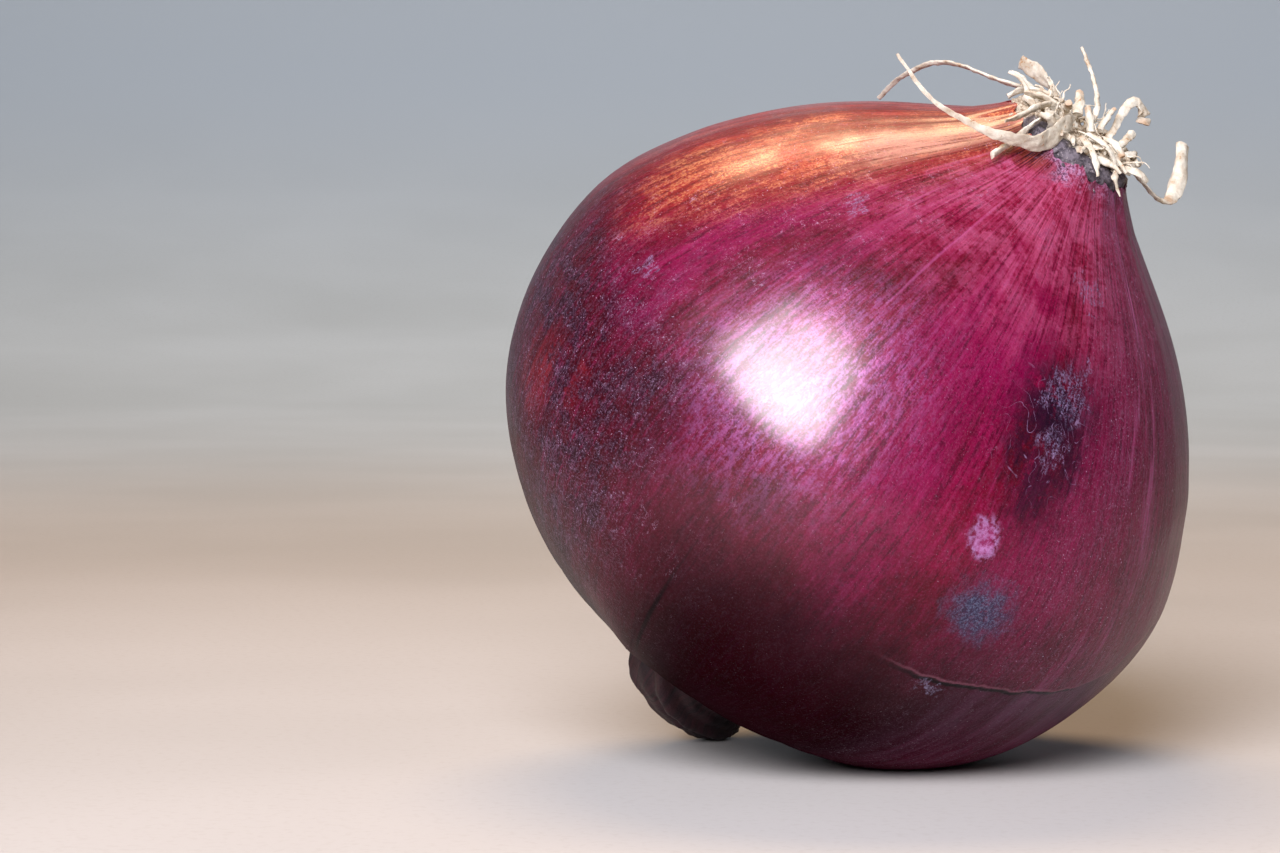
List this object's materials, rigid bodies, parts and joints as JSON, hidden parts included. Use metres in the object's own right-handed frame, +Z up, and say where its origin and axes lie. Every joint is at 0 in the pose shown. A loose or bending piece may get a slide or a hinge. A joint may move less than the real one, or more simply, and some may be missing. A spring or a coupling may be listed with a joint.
{
  "type": "whole red onion",
  "caption": "Whole red onion lying on its side, with a dry skin, a corky basal plate trailing dried roots, and a withered neck folded under it.",
  "frame": {"origin": "middle of the small flat that the bulb rests on", "axes": "+Z up; the bulb's axis lies in the XZ plane with its root end towards +X and up"},
  "size_m": [0.0711, 0.0754, 0.0745],
  "materials": {
    "onion_skin": "dry, papery outer skin with a soft gloss, deep magenta-red with fine streaks along the bulb",
    "basal_cork": "matt grey cork, crumbly at the rim",
    "neck_paper": "dry, dark purple-brown folded paper skin",
    "dried_root": "matt, cream-white dried root, brown at some tips"
  },
  "bodies": {
    "root": {"basal_plate": "basal_cork", "bulb": "onion_skin", "dry_neck": "neck_paper", "root_back_arch": "dried_root", "root_brown_stub": "dried_root", "root_far_1": "dried_root", "root_far_2": "dried_root", "root_far_3": "dried_root", "root_front_ribbon": "dried_root", "root_front_strand": "dried_root", "root_hanging": "dried_root", "root_hook": "dried_root", "root_inner_stub": "dried_root", "root_left_stub": "dried_root", "root_long_curl": "dried_root", "root_low_curl": "dried_root", "root_middle_stub": "dried_root", "root_near_curl": "dried_root", "root_rim_curl": "dried_root", "root_side_stub": "dried_root", "root_top_stub": "dried_root", "root_under_stub": "dried_root", "root_upright_broad": "dried_root", "root_upright_thin": "dried_root"}
  },
  "joints": []
}
